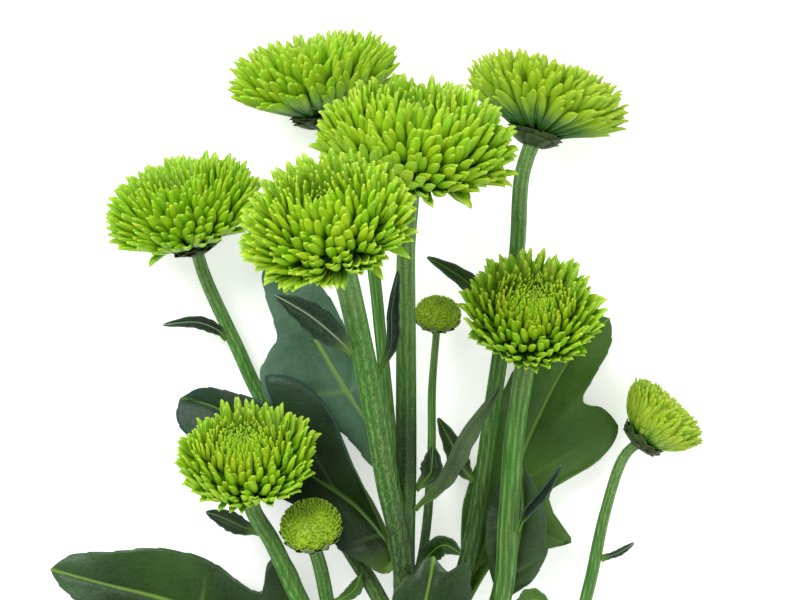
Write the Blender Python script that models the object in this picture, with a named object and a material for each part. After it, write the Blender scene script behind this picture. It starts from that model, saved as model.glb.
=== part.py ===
"""A spray of green pompon chrysanthemum, cut and laid down.

The stem runs along +Y, the surface is at z = 0, and the heads look up and away from the cut end.
Lengths are millimetres until the last step, which scales every mesh to metres.
"""
import math
import random
from collections import namedtuple

import bmesh
import bpy
from mathutils import Matrix, Vector

# Where a thing seen from above at a picture point lies, at a given height over the surface
EYE_HEIGHT = 620.0
MM_PER_PIXEL_PER_MM = 0.00038655
PICTURE_MIDDLE = (400.0, 300.0)
PLAN_MIDDLE = (-6.1, -47.39)

# Driving dimensions
METRES_PER_MM = 0.001
SEAT_GAP = 0.3
SURFACE_TOUCH = 0.01
STALK_SIDES = 8
STALK_RING_STEP = 9.5
LEAF_THICKNESS = 0.7
LOWEST_LEAF = 0.5
PETIOLE_HALF_WIDTH = 0.9
AURICLE = 1.6
BRACT_STATIONS = 8
CALYX_SIDES = 12

# Shares of a head's radius
CALYX_DEPTH = 0.2
CALYX_WAIST = 0.78
CALYX_SCALLOP = 0.09
DISC_RADIUS = 0.28
HEAD_MIDDLE = 0.45
FLORET_BOW = 0.4
FLORET_BLUNTNESS = 0.08
SHORTEST_FLORET = 0.94

# Shares of the way along a floret lattice, a leaf or a stalk
LAST_LEVEL = 0.97
ROW_CROWDING = 0.92
LEVEL_JITTER = 0.008
TURN_JITTER = 0.22
STATION_GAP = 0.025
SLOPE_STEP = 0.004
FINE_STEPS = 200

# Colours of the pieces, linear
LIME = (0.31, 0.52, 0.02, 1.0)
BUD_GREEN = (0.22, 0.36, 0.03, 1.0)
STALK_GREEN = (0.10, 0.25, 0.06, 1.0)
CALYX_GREEN = (0.06, 0.11, 0.04, 1.0)
LEAF_GREEN = (0.03, 0.09, 0.02, 1.0)
LEAF_GREY = (0.06, 0.14, 0.09, 1.0)


def seen(px, py, height):
    """The place at this height that the eye sees at a picture point."""
    scale = MM_PER_PIXEL_PER_MM * (EYE_HEIGHT - height)
    x = (px - PICTURE_MIDDLE[0]) * scale - PLAN_MIDDLE[0]
    y = (PICTURE_MIDDLE[1] - py) * scale - PLAN_MIDDLE[1]
    return Vector((x, y, height))


def along(points, share):
    """A point on the smooth curve through the given points, share running from 0 to 1."""
    place = min(max(share, 0.0), 1.0) * (len(points) - 1)
    index = min(int(place), len(points) - 2)
    t = place - index
    before = points[max(index - 1, 0)]
    start, end = points[index], points[index + 1]
    after = points[min(index + 2, len(points) - 1)]
    slope_in, slope_out = (end - before) * 0.5, (after - start) * 0.5
    return (start * (2 * t ** 3 - 3 * t ** 2 + 1) + slope_in * (t ** 3 - 2 * t ** 2 + t)
            + end * (3 * t ** 2 - 2 * t ** 3) + slope_out * (t ** 3 - t ** 2))


# Heads

# A form is a half profile in shares of the head's radius: where the floret tips reach, from the
# lowest row to the middle, how deep the valleys between them go, and how many florets there are.
Form = namedtuple("Form", "tips valley_low valley_high columns rows ridge_share")


def profile(*pairs):
    return [Vector(pair) for pair in pairs]


BOW_DIRECTION = Vector((0.4, -0.6))
ROOTS = profile((.30, .03), (.34, .09), (.34, .16), (.29, .23), (.21, .28), (.11, .31), (.02, .32))
OPEN = Form(profile((.80, .02), (.97, .13), (1.0, .30), (.94, .47), (.82, .62), (.62, .73),
                    (.42, .77), (.26, .74), (.14, .67), (.03, .58)), .42, .80, 18, 10, .5)
CUP = Form(profile((.78, .24), (.95, .36), (1.0, .50), (.94, .66), (.80, .80), (.60, .88),
                   (.40, .90), (.25, .85), (.13, .77), (.03, .69)), .42, .80, 18, 10, .5)
YOUNG = Form(profile((.80, .13), (.95, .30), (1.0, .47), (.90, .60), (.73, .68), (.56, .71),
                     (.40, .72), (.26, .73), (.13, .73), (.03, .72)), .42, .90, 18, 10, .5)
HALF_OPEN = Form(profile((.62, .30), (.84, .50), (.97, .74), (.93, .92), (.76, 1.02), (.55, 1.06),
                         (.36, 1.06), (.18, 1.04), (.03, 1.0)), .86, .92, 14, 8, 0)
BUD = Form(profile((.74, .10), (.95, .26), (1.0, .46), (.93, .66), (.76, .84), (.53, .95),
                   (.32, 1.0), (.15, 1.01), (.02, 1.0)), .88, .93, 14, 8, 0)

# lean turns a head's axis to the right of +Y, lift raises it over the surface, in degrees
Head = namedtuple("Head", "name form base radius lean lift calyx_radius")

HEADS = (
    Head("top_left", CUP, (321, 115, 16.8), 20.0, -10, 12, .36),
    Head("top_centre", OPEN, (413, 170, 47.0), 23.0, 5, 25, .34),
    Head("middle", OPEN, (334, 241, 72.0), 19.6, -17, 38, .34),
    Head("left", CUP, (194, 240, 11.8), 19.0, -15, 27, .36),
    Head("top_right", CUP, (535, 134, 17.7), 19.0, 17, 0, .36),
    Head("right", YOUNG, (530, 330, 33.0), 17.0, 4, 50, .36),
    Head("lower_left", YOUNG, (249, 478, 29.0), 17.2, -4, 39, .36),
    Head("bud_back", BUD, (437, 325, 11.0), 5.6, 4, 30, .62),
    Head("bud_low", BUD, (313, 537, 25.0), 7.2, -8, 40, .62),
    Head("bud_right", HALF_OPEN, (641, 440, 11.0), 11.4, 42, 8, .50),
)
HEAD_NAMED = {head.name: head for head in HEADS}

# Two heads that press on each other are kept to their own sides of a plane between them
PRESSED = (("top_left", "top_centre"), ("top_centre", "middle"))
PRESS_DEPTH = 6.0


def head_axis(head):
    lean, lift = math.radians(head.lean), math.radians(head.lift)
    return Vector((math.sin(lean) * math.cos(lift), math.cos(lean) * math.cos(lift), math.sin(lift)))


def head_frame(head):
    """From a head's own frame, its axis along +Z and its radius 1, to the plan."""
    axis = head_axis(head)
    across = Vector((0, 0, 1)).cross(axis).normalized()
    turn = Matrix((across, axis.cross(across), axis)).transposed().to_4x4()
    return Matrix.Translation(seen(*head.base)) @ turn @ Matrix.Scale(head.radius, 4)


def head_middle(head):
    return head_frame(head) @ Vector((0, 0, HEAD_MIDDLE))


def press_planes(head):
    """Each plane that holds this head back: a point on it and its outward direction."""
    planes = []
    for low_name, high_name in PRESSED:
        if head.name not in (low_name, high_name):
            continue
        low, high = HEAD_NAMED[low_name], HEAD_NAMED[high_name]
        start, end = head_middle(low), head_middle(high)
        upward = (end - start).normalized()
        point = start.lerp(end, low.radius / (low.radius + high.radius))
        outward = upward if head is low else -upward
        planes.append((point - outward * SEAT_GAP, outward))
    return planes


def pressed(place, planes):
    """Squeeze what comes near a plane, so that it bends along it and never reaches it."""
    for point, outward in planes:
        ahead = (place - point).dot(outward) + PRESS_DEPTH
        if ahead > 0:
            place = place - outward * (ahead - PRESS_DEPTH * ahead / (PRESS_DEPTH + ahead))
    return place


def floret_place(form, level, reach, turn):
    """A point in the head's own frame: level runs from the lowest row of florets to the middle,
    reach from the core to the tips, and turn round the axis."""
    root, tip = along(ROOTS, level), along(form.tips, level)
    bow = FLORET_BOW * math.sin(math.pi * reach) * level * (1 - level)
    flat = root.lerp(tip, reach) + BOW_DIRECTION * bow
    return Vector((flat.x * math.cos(turn), flat.x * math.sin(turn), flat.y))


def draw_out(bm, face, form, level, turn, half_step, length):
    """Draw a diamond of the lattice out to a floret: a blunt blade, or a low cone on a bud."""
    tip = floret_place(form, level, length, turn)
    if not form.ridge_share:
        bmesh.ops.poke(bm, faces=[face])["verts"][0].co = tip
        return
    drawn = bmesh.ops.extrude_discrete_faces(bm, faces=[face])["faces"][0]
    below, right, above, left = drawn.verts
    shoulder = half_step * form.ridge_share
    left.co = floret_place(form, level, length - FLORET_BLUNTNESS, turn - shoulder)
    right.co = floret_place(form, level, length - FLORET_BLUNTNESS, turn + shoulder)
    below.co = above.co = tip
    bmesh.ops.weld_verts(bm, targetmap={above: below})


def bloom_mesh(head, seed):
    """A lattice of diamonds laid over the core, row by row, each drawn out to a floret."""
    form, count = head.form, head.form.columns
    chance = random.Random(seed)
    half_step = math.pi / count
    start_turn = chance.uniform(0, half_step)
    bm = bmesh.new()

    def level_at(row):
        return LAST_LEVEL * (row / form.rows) ** ROW_CROWDING

    def turn_at(row, column):
        return start_turn + (2 * column + row % 2) * half_step

    def ring(row):
        level = level_at(row)
        valley = form.valley_low + (form.valley_high - form.valley_low) * level
        return [bm.verts.new(floret_place(form, level, valley, turn_at(row, column)))
                for column in range(count)]

    rings = [ring(row) for row in range(form.rows + 1)]
    diamonds = []
    for row in range(1, form.rows):
        for column in range(count):
            following = (column + 1) % count
            between = following if row % 2 else column
            corners = (rings[row - 1][between], rings[row][following],
                       rings[row + 1][between], rings[row][column])
            diamonds.append((bm.faces.new(corners), row, column))

    disc = [bm.verts.new((DISC_RADIUS * math.cos(turn_at(0, column)),
                          DISC_RADIUS * math.sin(turn_at(0, column)), 0)) for column in range(count)]
    crown = bm.verts.new((0, 0, form.tips[-1].y * LAST_LEVEL))
    low, lowest_between, high, highest_between = rings[0], rings[1], rings[-1], rings[-2]
    for column in range(count):
        following = (column + 1) % count
        bm.faces.new((disc[column], disc[following], low[following], low[column]))
        bm.faces.new((low[column], low[following], lowest_between[column]))
        between = following if form.rows % 2 else column
        bm.faces.new((high[following], high[column], highest_between[between]))
        bm.faces.new((high[column], high[following], crown))
    bm.faces.new(disc)
    bmesh.ops.recalc_face_normals(bm, faces=bm.faces)

    for face, row, column in diamonds:
        level = level_at(row) + chance.uniform(-LEVEL_JITTER, LEVEL_JITTER)
        turn = turn_at(row, column) + half_step * (1 + chance.uniform(-TURN_JITTER, TURN_JITTER))
        draw_out(bm, face, form, level, turn, half_step, chance.uniform(SHORTEST_FLORET, 1.0))
    return bm


def lay_on_surface(bm):
    """Cut what would reach below the surface, which leaves small flat spots to rest on."""
    if min(vert.co.z for vert in bm.verts) > -SURFACE_TOUCH:
        return
    everything = bm.verts[:] + bm.edges[:] + bm.faces[:]
    bmesh.ops.bisect_plane(bm, geom=everything, plane_co=(0, 0, 0), plane_no=(0, 0, 1),
                           dist=SURFACE_TOUCH * 0.1, clear_inner=True)
    rims = [edge for edge in bm.edges if edge.is_boundary]
    bmesh.ops.holes_fill(bm, edges=rims, sides=0)


def make_bloom(head, seed):
    bm = bloom_mesh(head, seed)
    bmesh.ops.transform(bm, matrix=head_frame(head), verts=bm.verts)
    planes = press_planes(head)
    for vert in bm.verts:
        vert.co = pressed(vert.co, planes)
    lay_on_surface(bm)
    colour = LIME if head.form.ridge_share else BUD_GREEN
    add_solid(head.name if "bud" in head.name else "bloom_" + head.name, bm, colour, 0.5)


def make_calyx(head, stalk):
    """The cup of bracts under a head: round at the stalk, scalloped where it spreads."""
    bm = bmesh.new()
    gap = SEAT_GAP / head.radius
    foot = stalk.top_radius / head.radius + gap
    rings = ((foot, CALYX_DEPTH, 0),
             (head.calyx_radius * CALYX_WAIST, CALYX_DEPTH / 2, CALYX_SCALLOP / 3),
             (head.calyx_radius, 0.0, CALYX_SCALLOP))
    loops = []
    for radius, depth, scallop in rings:
        loop = []
        for side in range(CALYX_SIDES):
            turn = 2 * math.pi * side / CALYX_SIDES
            reach = radius * (1 + scallop * (1 if side % 2 else -1))
            loop.append(bm.verts.new((reach * math.cos(turn), reach * math.sin(turn), -depth - gap)))
        loops.append(loop)
    for low, high in zip(loops, loops[1:]):
        for side in range(CALYX_SIDES):
            following = (side + 1) % CALYX_SIDES
            bm.faces.new((low[side], low[following], high[following], high[side]))
    bm.faces.new(list(reversed(loops[0])))
    bm.faces.new(loops[-1])
    bmesh.ops.transform(bm, matrix=head_frame(head), verts=bm.verts)
    lay_on_surface(bm)
    add_solid("calyx_" + head.name, bm, CALYX_GREEN, 0.6)


# Stem and stalks

# The points run from the root, inside the stalk that carries this one, up to the head, as
# picture points with a height. The head's own place and axis give the last stretch.
Stalk = namedtuple("Stalk", "head root_radius top_radius points")

STALKS = (
    Stalk("top_centre", 3.4, 2.1, ((400, 958, 2.9), (402, 850, 10.5), (404, 735, 18), (405, 640, 23),
                                   (404, 552, 26), (406, 460, 31), (406, 360, 36), (406, 262, 40))),
    Stalk("middle", 3.0, 2.9, ((406, 585, 25), (400, 540, 29), (387, 480, 36), (373, 400, 46),
                               (358, 330, 56))),
    Stalk("top_left", 1.8, 1.4, ((406, 610, 24), (399, 530, 19), (390, 430, 13), (381, 339, 11.5),
                                 (371, 256, 11.5), (352, 190, 12.5))),
    Stalk("left", 2.2, 1.7, ((406, 650, 22.5), (372, 585, 15), (325, 510, 8.5), (262, 400, 4.6),
                             (236, 345, 4.4))),
    Stalk("top_right", 2.4, 2.0, ((405, 690, 20.5), (443, 628, 17), (472, 540, 13.5), (492, 410, 11),
                                  (507, 310, 11), (517, 250, 12))),
    Stalk("right", 2.9, 2.5, ((404, 752, 17), (460, 680, 19), (500, 600, 21), (508, 520, 22),
                              (514, 440, 23))),
    Stalk("lower_left", 2.6, 2.1, ((403, 790, 14.5), (350, 700, 14), (300, 600, 15.5),
                                   (274, 545, 18))),
    Stalk("bud_low", 1.9, 1.9, ((347, 694, 14), (335, 650, 14.5), (327, 600, 17), (321, 570, 20))),
    Stalk("bud_back", 1.3, 0.9, ((406, 620, 23.5), (424, 545, 16), (431, 460, 11), (432, 390, 9.5))),
    Stalk("bud_right", 2.0, 1.3, ((402, 850, 11), (480, 775, 9), (560, 680, 7), (588, 590, 6.5),
                                  (603, 520, 7), (620, 470, 8))),
)
STALK_NAMED = {stalk.head: stalk for stalk in STALKS}
SETTLE = 0.35


def stalk_path(stalk):
    """The centre line: the given points, then straight into the head along its axis."""
    head = HEAD_NAMED[stalk.head]
    axis = head_axis(head)
    end = seen(*head.base) - axis * (CALYX_DEPTH * head.radius + 2 * SEAT_GAP)
    return [seen(*point) for point in stalk.points] + [end - axis * head.radius * SETTLE, end]


def even_shares(path, step):
    """Shares of a path whose points lie about one step apart."""
    fine = [along(path, index / FINE_STEPS) for index in range(FINE_STEPS + 1)]
    lengths = [0.0]
    for before, after in zip(fine, fine[1:]):
        lengths.append(lengths[-1] + (after - before).length)
    count = max(4, round(lengths[-1] / step))
    shares, index = [], 0
    for ring in range(count + 1):
        wanted = lengths[-1] * ring / count
        while index < FINE_STEPS - 1 and lengths[index + 1] < wanted:
            index += 1
        stretch = lengths[index + 1] - lengths[index]
        shares.append((index + (wanted - lengths[index]) / stretch) / FINE_STEPS)
    return shares


def stalk_radius(stalk, share):
    return stalk.root_radius + (stalk.top_radius - stalk.root_radius) * share


def direction_at(path, share):
    return (along(path, share + SLOPE_STEP) - along(path, share - SLOPE_STEP)).normalized()


def stalk_tube(stalk):
    path = stalk_path(stalk)
    bm = bmesh.new()
    side_way = Vector((0, 0, 1))
    loops = []
    for share in even_shares(path, STALK_RING_STEP):
        forward = direction_at(path, share)
        side_way = (side_way - forward * side_way.dot(forward)).normalized()
        other = forward.cross(side_way)
        radius, centre = stalk_radius(stalk, share), along(path, share)
        turns = [2 * math.pi * (side + 0.5) / STALK_SIDES for side in range(STALK_SIDES)]
        loops.append([bm.verts.new(centre + (side_way * math.cos(turn) + other * math.sin(turn)) * radius)
                      for turn in turns])
    for low, high in zip(loops, loops[1:]):
        for side in range(STALK_SIDES):
            following = (side + 1) % STALK_SIDES
            bm.faces.new((low[side], low[following], high[following], high[side]))
    bm.faces.new(list(reversed(loops[0])))
    bm.faces.new(loops[-1])
    lay_on_surface(bm)
    return add_solid("stalk_" + stalk.head, bm, STALK_GREEN, 0.5)


def make_stem():
    """All stalks joined in one branching solid."""
    tubes = [stalk_tube(stalk) for stalk in STALKS]
    trunk, branches = tubes[0], tubes[1:]
    group = bpy.data.collections.new("branches")
    for branch in branches:
        group.objects.link(branch)
    join = trunk.modifiers.new("join", "BOOLEAN")
    join.operation, join.operand_type, join.collection = "UNION", "COLLECTION", group
    bpy.context.view_layer.update()
    evaluated = trunk.evaluated_get(bpy.context.evaluated_depsgraph_get())
    joined = bpy.data.meshes.new_from_object(evaluated)
    trunk.modifiers.clear()
    trunk.data = joined
    trunk.name = "stem"
    for branch in branches:
        bpy.data.objects.remove(branch)
    bpy.data.collections.remove(group)


# Leaves

# A leaf's spine runs from its stalk to its tip. Each margin point has the share of the spine
# where its vein starts and a picture point. lifts raise the two margins over the spine.
Leaf = namedtuple("Leaf", "name stalk share spine left right lifts colour")
# A bract is a narrow leaf: its halves are half_width wide, fold up from the spine by fold
# degrees, and the whole is rolled round the spine by roll degrees.
Bract = namedtuple("Bract", "name stalk share spine half_width fold roll")

LEAVES = (
    Leaf("leaf_right", "top_right", .13,
         ((462, 616, 12.5), (471, 580, 8.5), (490, 532, 6.5), (512, 482, 5.5), (533, 430, 5),
          (568, 362, 4.5), (610, 318, 4)),
         ((.32, 460, 560), (.40, 464, 500), (.50, 486, 440), (.62, 506, 385), (.75, 532, 345),
          (.89, 575, 315)),
         ((.30, 490, 566), (.38, 521, 527), (.42, 572, 543), (.45, 551, 508), (.49, 556, 484),
          (.54, 590, 466), (.58, 611, 447), (.61, 618, 426), (.64, 604, 409), (.69, 583, 401),
          (.78, 593, 378), (.89, 611, 345)),
         (-0.8, 2.0), LEAF_GREEN),
    Leaf("leaf_back", "top_left", .25,
         ((380, 446, 11.5), (369, 425, 10.5), (347, 390, 10), (314, 337, 9.5), (286, 292, 8.5),
          (268, 262, 7)),
         ((.16, 374, 468), (.30, 352, 443), (.40, 334, 428), (.50, 298, 418), (.57, 268, 402),
          (.62, 260, 374), (.69, 268, 354), (.76, 277, 336), (.87, 268, 304), (.95, 262, 278)),
         ((.20, 384, 428), (.36, 371, 400), (.55, 354, 350), (.75, 326, 292), (.92, 290, 262)),
         (1.0, -1.5), LEAF_GREY),
    Leaf("leaf_left", "top_centre", .43,
         ((390, 545, 22), (356, 507, 18.5), (311, 475, 15.5), (262, 436, 13.5), (218, 408, 11.5),
          (180, 398, 9)),
         ((.16, 384, 574), (.24, 362, 562), (.33, 338, 548), (.41, 318, 520), (.57, 262, 488),
          (.73, 206, 452), (.88, 178, 424)),
         ((.16, 382, 520), (.23, 364, 486), (.30, 348, 456), (.38, 330, 412), (.44, 302, 382),
          (.49, 266, 375), (.56, 270, 402), (.71, 246, 396), (.88, 206, 387)),
         (1.0, 1.5), LEAF_GREEN),
    Leaf("leaf_bottom_left", "lower_left", .22,
         ((312, 668, 9.5), (270, 640, 8), (216, 618, 7), (160, 598, 6.5), (108, 585, 6), (50, 569, 4.5)),
         ((.14, 302, 700), (.26, 280, 690), (.38, 246, 680), (.50, 200, 662), (.63, 150, 640),
          (.81, 94, 612), (.93, 62, 588)),
         ((.16, 306, 620), (.25, 302, 585), (.31, 286, 556), (.36, 268, 562), (.42, 262, 590),
          (.50, 244, 585), (.61, 208, 560), (.70, 160, 548), (.82, 116, 551), (.93, 72, 555)),
         (-1.0, 2.0), LEAF_GREEN),
    Leaf("leaf_bottom", "top_centre", .29,
         ((412, 664, 27), (418, 630, 30), (428, 590, 31), (434, 556, 30)),
         ((.40, 398, 640), (.60, 392, 600), (.76, 404, 578), (.86, 414, 574), (.94, 424, 560)),
         ((.34, 436, 644), (.52, 464, 612), (.68, 471, 588), (.79, 466, 563), (.88, 449, 572)),
         (1.0, 1.5), LEAF_GREEN),
    Leaf("leaf_stalk", "right", .34,
         ((508, 590, 17.5), (516, 555, 17), (522, 515, 17), (521, 466, 17)),
         ((.26, 496, 590), (.48, 486, 548), (.72, 489, 505), (.90, 508, 470)),
         ((.22, 522, 588), (.36, 534, 578), (.50, 547, 554), (.62, 545, 540), (.78, 546, 515),
          (.91, 534, 483)),
         (-0.8, -1.5), LEAF_GREEN),
)

BRACTS = (
    Bract("bract_folded", "top_centre", .50,
          ((440, 478, 34), (465, 430, 33), (500, 386, 29)), 3.4, 62, 30),
    Bract("bract_middle_left", "middle", .62,
          ((334, 335, 60), (308, 314, 59), (275, 295, 57)), 3.4, 20, -12),
    Bract("bract_middle_right", "middle", .55,
          ((390, 345, 49), (391, 310, 50), (398, 270, 50)), 2.0, 55, 50),
    Bract("bract_left", "left", .69,
          ((216, 329, 6.5), (195, 322, 7), (163, 325, 7)), 1.6, 25, 0),
    Bract("bract_lower_left", "lower_left", .66,
          ((243, 527, 16), (226, 519, 14), (206, 512, 12)), 2.4, 18, 0),
    Bract("bract_bud_low", "bud_low", .38,
          ((354, 590, 17), (360, 576, 17)), 1.6, 15, 0),
    Bract("bract_centre_back", "top_right", .35,
          ((463, 468, 9), (453, 446, 8), (438, 418, 7)), 2.6, 20, 0),
    Bract("leaf_toothed", "top_centre", .52,
          ((429, 476, 28), (432, 464, 28), (433, 446, 27)), 2.6, 15, 0),
    Bract("leaf_curled", "top_centre", .41,
          ((428, 556, 22), (444, 545, 24), (461, 554, 23)), 2.6, 25, 0),
    Bract("bract_top_right", "top_right", .57,
          ((487, 300, 14), (460, 277, 17), (427, 257, 17)), 2.4, 25, 15),
    Bract("bract_right", "right", .48,
          ((526, 510, 25), (543, 490, 26), (561, 465, 27)), 1.9, 50, 25),
    Bract("bract_bud_right", "bud_right", .49,
          ((618, 553, 6.2), (634, 543, 5)), 1.0, 20, 0),
    Bract("leaf_bottom_right", "right", .31,
          ((524, 605, 18.5), (534, 600, 18), (549, 604, 17)), 3.0, 15, 0),
)


def seated_spine(leaf):
    """The spine's points, from a foot that sits on the stalk's side a small gap clear of it."""
    stalk = STALK_NAMED[leaf.stalk]
    path = stalk_path(stalk)
    spine = [seen(*point) for point in leaf.spine]
    centre, forward = along(path, leaf.share), direction_at(path, leaf.share)
    outward = spine[0] - centre
    outward = (outward - forward * outward.dot(forward)).normalized()
    foot = centre + outward * (stalk_radius(stalk, leaf.share) + SEAT_GAP)
    return [foot, foot + outward * AURICLE] + spine


def spine_height(spine, share):
    return along(spine, share).z


def margin_curve(margin, spine, lift, side):
    """The margin as points in space with their vein's share, foot and tip included."""
    foot, forward = spine[0], direction_at(spine, SLOPE_STEP)
    across = Vector((0, 0, 1)).cross(forward).normalized() * side
    curve = [(0.0, foot + across * PETIOLE_HALF_WIDTH)]
    for share, px, py in margin:
        height = spine_height(spine, share) + lift * math.sin(math.pi * share)
        curve.append((share, seen(px, py, max(height, LOWEST_LEAF))))
    return curve + [(1.0, spine[-1])]


def margin_place(curve, share):
    shares = [knot for knot, place in curve]
    places = [place for knot, place in curve]
    index = 0
    while index < len(shares) - 2 and shares[index + 1] < share:
        index += 1
    part = (share - shares[index]) / (shares[index + 1] - shares[index])
    return along(places, (index + part) / (len(places) - 1))


def blade_solid(name, stations, colour):
    """A closed blade from rows of points, left margin to right margin, ending in one tip."""
    bm = bmesh.new()
    rows = [[bm.verts.new(place) for place in row] for row in stations[:-1]]
    tip = bm.verts.new(stations[-1])
    for near, far in zip(rows, rows[1:]):
        for column in range(len(near) - 1):
            bm.faces.new((near[column], near[column + 1], far[column + 1], far[column]))
    for column in range(len(rows[-1]) - 1):
        bm.faces.new((rows[-1][column], rows[-1][column + 1], tip))
    bmesh.ops.triangulate(bm, faces=bm.faces)
    bmesh.ops.recalc_face_normals(bm, faces=bm.faces)
    blade = add_solid(name, bm, colour, 0.45)
    wall = blade.modifiers.new("thickness", "SOLIDIFY")
    wall.thickness = LEAF_THICKNESS * METRES_PER_MM
    wall.offset = 0.0


def make_leaf(leaf):
    spine = seated_spine(leaf)
    curves = [margin_curve(leaf.left, spine, leaf.lifts[0], 1),
              margin_curve(leaf.right, spine, leaf.lifts[1], -1)]
    shares = sorted({knot for curve in curves for knot, place in curve})
    spaced = [shares[0]]
    for share in shares[1:]:
        if share - spaced[-1] > STATION_GAP:
            spaced.append(share)
    spaced[-1] = 1.0
    stations = []
    for share in spaced[:-1]:
        middle = along(spine, share)
        left, right = margin_place(curves[0], share), margin_place(curves[1], share)
        stations.append([left, left.lerp(middle, 0.5), middle, middle.lerp(right, 0.5), right])
    blade_solid(leaf.name, stations + [spine[-1]], leaf.colour)


def make_bract(bract):
    spine = seated_spine(bract)
    stations = []
    for index in range(BRACT_STATIONS):
        share = index / BRACT_STATIONS
        middle, forward = along(spine, share), direction_at(spine, share)
        across = Vector((0, 0, 1)).cross(forward).normalized()
        rise = forward.cross(across)
        width = max(bract.half_width * math.sin(math.pi * share ** 1.1), PETIOLE_HALF_WIDTH * (1 - share))
        row = []
        for side in (1, -1):
            angle = math.radians(bract.roll * side + bract.fold)
            row.append(middle + (across * side * math.cos(angle) + rise * math.sin(angle)) * width)
        stations.append([row[0], middle, row[1]])
    for row in stations:
        for place in row:
            place.z = max(place.z, LOWEST_LEAF)
    blade_solid(bract.name, stations + [spine[-1]], LEAF_GREEN)


# Objects

def surface(name, colour, roughness):
    material = bpy.data.materials.new(name)
    material.use_nodes = True
    shader = material.node_tree.nodes["Principled BSDF"]
    shader.inputs["Base Color"].default_value = colour
    shader.inputs["Roughness"].default_value = roughness
    shader.inputs["Metallic"].default_value = 0.0
    return material


def add_solid(name, bm, colour, roughness):
    """Finish a mesh, scale it to metres and make it an object with its own material."""
    if all(edge.is_manifold for edge in bm.edges):
        bmesh.ops.recalc_face_normals(bm, faces=bm.faces)
        bmesh.ops.triangulate(bm, faces=bm.faces, quad_method="FIXED")
    bmesh.ops.scale(bm, vec=Vector((1, 1, 1)) * METRES_PER_MM, verts=bm.verts)
    mesh = bpy.data.meshes.new(name)
    bm.to_mesh(mesh)
    bm.free()
    solid = bpy.data.objects.new(name, mesh)
    mesh.materials.append(surface(name, colour, roughness))
    bpy.context.scene.collection.objects.link(solid)
    return solid


for old in list(bpy.data.objects):
    bpy.data.objects.remove(old)

make_stem()
for number, one_head in enumerate(HEADS):
    make_bloom(one_head, number)
    make_calyx(one_head, STALK_NAMED[one_head.name])
for one_leaf in LEAVES:
    make_leaf(one_leaf)
for one_bract in BRACTS:
    make_bract(one_bract)
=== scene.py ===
# %% [markdown]
# # A cut spray of pompon chrysanthemum
#
# One stem forks into ten stalks: seven carry open heads of packed green florets and three carry
# buds. The spray lies on a pale table and the camera looks straight down on it. The solids are
# loaded first, and every piece made here stands for one of them, in its place and of its size.

import math
import random
from collections import namedtuple

import bmesh
import bpy
from mathutils import Matrix, Vector, noise


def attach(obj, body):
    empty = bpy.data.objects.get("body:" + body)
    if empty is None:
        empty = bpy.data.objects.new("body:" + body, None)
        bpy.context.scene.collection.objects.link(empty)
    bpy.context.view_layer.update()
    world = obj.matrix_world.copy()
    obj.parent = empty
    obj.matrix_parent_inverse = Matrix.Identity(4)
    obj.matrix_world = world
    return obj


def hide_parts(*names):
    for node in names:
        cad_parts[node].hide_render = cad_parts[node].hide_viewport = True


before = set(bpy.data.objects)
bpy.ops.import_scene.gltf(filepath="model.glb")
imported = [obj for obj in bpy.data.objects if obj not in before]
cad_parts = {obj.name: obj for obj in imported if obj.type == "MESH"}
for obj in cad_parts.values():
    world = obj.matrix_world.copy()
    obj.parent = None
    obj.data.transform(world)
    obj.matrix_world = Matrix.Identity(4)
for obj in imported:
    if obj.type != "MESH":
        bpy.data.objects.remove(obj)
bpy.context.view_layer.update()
METRES_PER_MM = 0.001
print("solids:", len(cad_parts), "nodes")

# %% [markdown]
# ## The camera
#
# Everything was placed by where it shows in the picture and how high it lies over the table, so
# the camera stands where that eye was: 620 mm up, over the picture's middle. The lens follows
# from how many millimetres a picture point covers at that distance.

# %% Camera
EYE_HEIGHT = 620.0
MM_PER_PIXEL_PER_MM = 0.00038655
PICTURE_MIDDLE = (400.0, 300.0)
PLAN_MIDDLE = (-6.1, -47.39)
SENSOR_WIDTH = 36.0

camera_data = bpy.data.cameras.new("camera")
camera_data.sensor_width = SENSOR_WIDTH
camera_data.lens = SENSOR_WIDTH / (2 * PICTURE_MIDDLE[0] * MM_PER_PIXEL_PER_MM)
camera_data.clip_start = 0.01
camera = bpy.data.objects.new("camera", camera_data)
camera.location = Vector((-PLAN_MIDDLE[0], -PLAN_MIDDLE[1], EYE_HEIGHT)) * METRES_PER_MM
bpy.context.scene.collection.objects.link(camera)
bpy.context.scene.camera = camera
print("lens:", round(camera_data.lens, 1), "mm")

# %% [markdown]
# ## Arithmetic on sockets
#
# A finish is a tree of shader nodes. Wrapping a socket in a small class lets the sums in it be
# written as sums: each operator adds one Math node. Colours go through Mix nodes instead, since a
# Math node would turn them grey.

# %% The socket class and the finish class
class Value:
    """A socket of a node. Arithmetic on it adds Math nodes to its finish."""

    def __init__(self, finish, socket):
        self.finish, self.socket = finish, socket

    def maths(self, operation, first, second=0.0):
        return self.finish.node("Math", {"operation": operation}, {0: first, 1: second})

    def __add__(self, other):
        return self.maths("ADD", self, other)

    def __sub__(self, other):
        return self.maths("SUBTRACT", self, other)

    def __rsub__(self, other):
        return self.maths("SUBTRACT", other, self)

    def __mul__(self, other):
        return self.maths("MULTIPLY", self, other)

    def __abs__(self):
        return self.maths("ABSOLUTE", self)

    __radd__ = __add__
    __rmul__ = __mul__

    def wave(self):
        """The sine of this value, moved to run from 0 to 1."""
        return self.maths("SINE", self) * 0.5 + 0.5

    def between(self, low, high):
        """0 below low, 1 above high, and smooth between them."""
        return self.finish.node("MapRange", {"interpolation_type": "SMOOTHSTEP"},
                                {"Value": self, "From Min": low, "From Max": high})


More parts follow.
